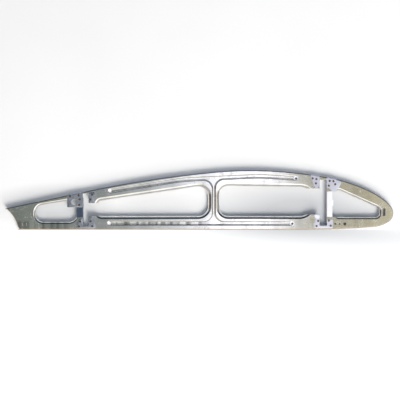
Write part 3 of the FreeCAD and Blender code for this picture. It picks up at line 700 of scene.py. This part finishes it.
def mirrored_view(tree):
    """What the metal mirrors in each direction: bright below, dim above and aft, warm at the nose."""
    direction = add_node(tree, "ShaderNodeTexCoord").outputs["Generated"]
    parts = add_node(tree, "ShaderNodeSeparateXYZ", {"Vector": direction})
    x, y, z = parts.outputs["X"], parts.outputs["Y"], parts.outputs["Z"]

    # Ahead and below, both from the aft side to the nose's side
    ahead = colour_ramp(tree, spread(tree, x, -0.5, 0.5), [
        (0.00, (0.04, 0.055, 0.09)),
        (0.22, (0.15, 0.175, 0.155)),
        (0.30, (0.20, 0.22, 0.195)),
        (0.345, (0.21, 0.23, 0.22)),
        (0.40, (0.30, 0.325, 0.34)),
        (0.455, (0.52, 0.55, 0.60)),
        (0.51, (1.15, 1.15, 1.22)),
        (0.545, (1.80, 1.74, 1.92)),
        (0.585, (1.75, 1.70, 1.84)),
        (0.608, (0.44, 0.44, 0.38)),
        (0.655, (0.43, 0.40, 0.29)),
        (0.695, (0.38, 0.34, 0.23)),
        (0.73, (0.66, 0.60, 0.42)),
        (0.80, (0.75, 0.68, 0.50)),
        (0.90, (1.30, 1.28, 1.20)),
        (1.00, (1.50, 1.50, 1.50)),
    ])
    below = colour_ramp(tree, spread(tree, x, -0.5, 0.5), [
        (0.00, (0.52, 0.50, 0.46)),
        (0.32, (0.55, 0.49, 0.36)),
        (0.42, (1.15, 1.10, 0.92)),
        (0.60, (1.40, 1.38, 1.32)),
        (1.00, (1.35, 1.32, 1.24)),
    ])
    view = blend_colour(tree, spread(tree, z, 0.05, 0.17), ahead, (0.035, 0.045, 0.055))
    view = blend_colour(tree, spread(tree, z, -0.17, -0.05, 1.0, 0.0), view, below)

    # To the sides, from ahead to behind: brown on the level, pale lower down and higher up
    beside = colour_ramp(tree, spread(tree, y, -0.5, 0.5), [
        (0.00, (0.20, 0.13, 0.09)),
        (0.45, (0.09, 0.06, 0.045)),
        (0.60, (0.80, 0.78, 0.75)),
        (1.00, (0.88, 0.88, 0.88)),
    ])
    low_beside = blend_colour(tree, spread(tree, y, -0.1, 0.2), (0.62, 0.56, 0.54), (0.85, 0.85, 0.85))
    high, level = spread(tree, z, 0.2, 0.5), spread(tree, z, -0.35, -0.15)
    beside = blend_colour(tree, level, low_beside, beside)
    beside = blend_colour(tree, high, beside, (0.80, 0.82, 0.88))

    turns = []
    for on_level, low_down, high_up in (TURN_FROM, TURN_TO):
        turn = spread(tree, level, 0.0, 1.0, low_down, on_level)
        turns.append(spread(tree, high, 0.0, 1.0, turn, high_up))
    return blend_colour(tree, spread(tree, y, *turns), view, beside)


def world_surroundings(settings):
    """The studio round the rib, which the camera itself sees as plain white."""
    world = bpy.data.worlds.new("studio")
    world.use_nodes = True
    bpy.context.scene.world = world
    tree = world.node_tree
    tree.nodes.clear()
    mirrored = {"Color": mirrored_view(tree), "Strength": settings.sky_level}
    surroundings = add_node(tree, "ShaderNodeBackground", mirrored)
    plain = add_node(tree, "ShaderNodeBackground", {"Color": (1.0, 1.0, 1.0, 1.0), "Strength": 1.0})
    seen = add_node(tree, "ShaderNodeLightPath").outputs["Is Camera Ray"]
    both = {0: seen, 1: surroundings.outputs[0], 2: plain.outputs[0]}
    shown = add_node(tree, "ShaderNodeMixShader", both)
    add_node(tree, "ShaderNodeOutputWorld", {"Surface": shown.outputs[0]})


def backdrop_shade(tree):
    """Share of painted grey shade in the pale surfaces, in a patch behind the front, the aft bay and the
    tail.
    """
    place = add_node(tree, "ShaderNodeTexCoord").outputs["Object"]
    total = 0.0
    for centre, scale, most in SHADES:
        shift = tuple(-a * b for a, b in zip(centre, scale))
        patch = add_node(tree, "ShaderNodeMapping", {"Vector": place, "Scale": scale, "Location": shift})
        reach = add_node(tree, "ShaderNodeVectorMath", {0: patch.outputs["Vector"]}, operation="LENGTH")
        share = spread(tree, reach.outputs["Value"], *SHADE_REACH, 0.0, most)
        total = product(tree, total, share, "MAXIMUM")
    return total


def pale_surface(name, settings, lift, strength, open_back):
    """Pale matt surface, which the camera and the metal see as lifted towards white.

    Strength is the share of its colour that the lights bring out, and so how deep its shadows are.
    A surface with an open back is clear from behind.
    """
    material, tree, shader = new_material(name)
    shader.inputs["Roughness"].default_value = 1.0
    shader.inputs["Specular IOR Level"].default_value = 0.0
    paper = noise(tree, object_pattern(tree, (1.0, 1.0, 1.0)), 3.0, 2.0)
    plain = tuple(strength * c for c in settings.backdrop_colour)
    lighter = tuple(min(1.0, 1.03 * c) for c in plain)
    tone = blend_colour(tree, spread(tree, paper, 0.3, 0.7), plain, lighter)
    shade = backdrop_shade(tree)
    tone = blend_colour(tree, shade, tone, tuple(strength * c for c in settings.shade_colour))
    path = add_node(tree, "ShaderNodeLightPath").outputs
    # The camera and the metal see the pale tone; bounced light sees the bounce colour, a painted shade
    seen = product(tree, path["Is Camera Ray"], path["Is Glossy Ray"], "MAXIMUM")
    tree.links.new(blend_colour(tree, seen, settings.bounce_colour, tone), shader.inputs["Base Color"])
    shader.inputs["Emission Color"].default_value = (1.0, 1.0, 1.0, 1.0)
    lift = spread(tree, shade, 0.0, 1.0, lift, SHADED_LIFT * lift)
    tree.links.new(product(tree, seen, lift), shader.inputs["Emission Strength"])
    if open_back:
        clear = add_node(tree, "ShaderNodeBsdfTransparent").outputs[0]
        side = add_node(tree, "ShaderNodeNewGeometry").outputs["Backfacing"]
        shown = add_node(tree, "ShaderNodeMixShader", {0: side, 1: shader.outputs[0], 2: clear})
        tree.links.new(shown.outputs[0], tree.nodes["Material Output"].inputs["Surface"])
    return material


class RIB_OT_stage(bpy.types.Operator):
    """Set up the camera, the pale backdrop and the lights"""

    bl_idname = "rib.stage"
    bl_label = "Stage"

    def execute(self, context):
        settings = context.scene.rib_stage
        centre = Vector((settings.view_centre_x, 0.0, settings.view_centre_z))
        self.camera(settings, centre)
        self.surfaces(settings)
        for name, towards, distance, size, power, colour in LAMPS:
            lamp = self.light(name, centre, Vector(towards).normalized(), distance, size)
            lamp.data.energy, lamp.data.color = getattr(settings, power), colour
        world_surroundings(settings)
        context.scene.view_settings.view_transform = "Standard"
        return {"FINISHED"}

    def camera(self, settings, centre):
        """A camera square on to the web's outer side."""
        clear_selection()
        place = centre + Vector((0.0, -settings.camera_distance, 0.0))
        bpy.ops.object.camera_add(location=place, rotation=(math.radians(90.0), 0.0, 0.0))
        camera = bpy.context.object
        camera.name = "rib_camera"
        camera.data.lens = camera.data.sensor_width * settings.camera_distance / settings.view_width
        bpy.context.scene.camera = camera

    def surfaces(self, settings):
        """The pale backdrop behind the rib, and the floor just below it that only the camera sees."""
        middle, reach = (TAIL_END + NOSE_END) / 2, settings.backdrop_reach
        wall_place = (middle, FLANGE_EDGE + settings.backdrop_gap, 0.0)
        wall = self.surface("backdrop", wall_place, reach, lean=90.0)
        paper = pale_surface(
            "pale_backdrop", settings, settings.backdrop_lift, strength=1.0, open_back=True,
        )
        wall.data.materials.append(paper)
        floor = self.surface("floor", (middle, 0.0, UNDERSIDE - settings.floor_gap), reach, lean=0.0)
        paper = pale_surface("pale_floor", settings, settings.floor_lift, FLOOR_STRENGTH, open_back=False)
        floor.data.materials.append(paper)
        floor.visible_diffuse = False
        floor.visible_shadow = False
        floor.visible_glossy = False

    def surface(self, name, place, reach, lean):
        """A plane that isn't part of the rib, leaning back from level by an angle in degrees."""
        clear_selection()
        turn = (math.radians(lean), 0.0, 0.0)
        bpy.ops.mesh.primitive_plane_add(size=2 * reach, rotation=turn, location=place)
        plane = bpy.context.object
        plane.name = name
        bpy.ops.object.transform_apply(location=True, rotation=True, scale=True)
        return plane

    def light(self, name, centre, towards, distance, size):
        """A round soft light that faces the rib, and that its metal doesn't mirror."""
        clear_selection()
        bpy.ops.object.light_add(type="AREA", location=centre + towards * distance)
        lamp = bpy.context.object
        lamp.name = name
        lamp.data.shape = "DISK"
        lamp.data.size = size
        lamp.rotation_mode = "QUATERNION"
        lamp.rotation_quaternion = towards.to_track_quat("Z", "Y")
        lamp.visible_glossy = False
        return lamp


class RIB_PT_panel(bpy.types.Panel):
    """Lists the steps that finish the rib"""

    bl_idname = "RIB_PT_panel"
    bl_label = "Wing rib"
    bl_space_type = "VIEW_3D"
    bl_region_type = "UI"
    bl_category = "Wing rib"

    def draw(self, context):
        column = self.layout.column()
        for step in STEPS:
            column.operator(step)
        for group in ("rib_finish", "rib_rivets", "rib_stage"):
            box = self.layout.box()
            settings = getattr(context.scene, group)
            for name in settings.__annotations__:
                box.prop(settings, name)


STEPS = ("rib.stage", "rib.web", "rib.gussets", "rib.stiffeners", "rib.rivets")
CLASSES = (
    RibFinishSettings,
    RibRivetSettings,
    RibStageSettings,
    RIB_OT_web,
    RIB_OT_gussets,
    RIB_OT_stiffeners,
    RIB_OT_rivets,
    RIB_OT_stage,
    RIB_PT_panel,
)


def register():
    for cls in CLASSES:
        bpy.utils.register_class(cls)
    bpy.types.Scene.rib_finish = PointerProperty(type=RibFinishSettings)
    bpy.types.Scene.rib_rivets = PointerProperty(type=RibRivetSettings)
    bpy.types.Scene.rib_stage = PointerProperty(type=RibStageSettings)


def unregister():
    for group in ("rib_finish", "rib_rivets", "rib_stage"):
        delattr(bpy.types.Scene, group)
    for cls in reversed(CLASSES):
        bpy.utils.unregister_class(cls)


def main():
    register()
    bpy.ops.rib.stage()
    bpy.ops.rib.web()
    bpy.ops.rib.gussets()
    bpy.ops.rib.stiffeners()
    bpy.ops.rib.rivets()


if __name__ == "__main__":
    main()
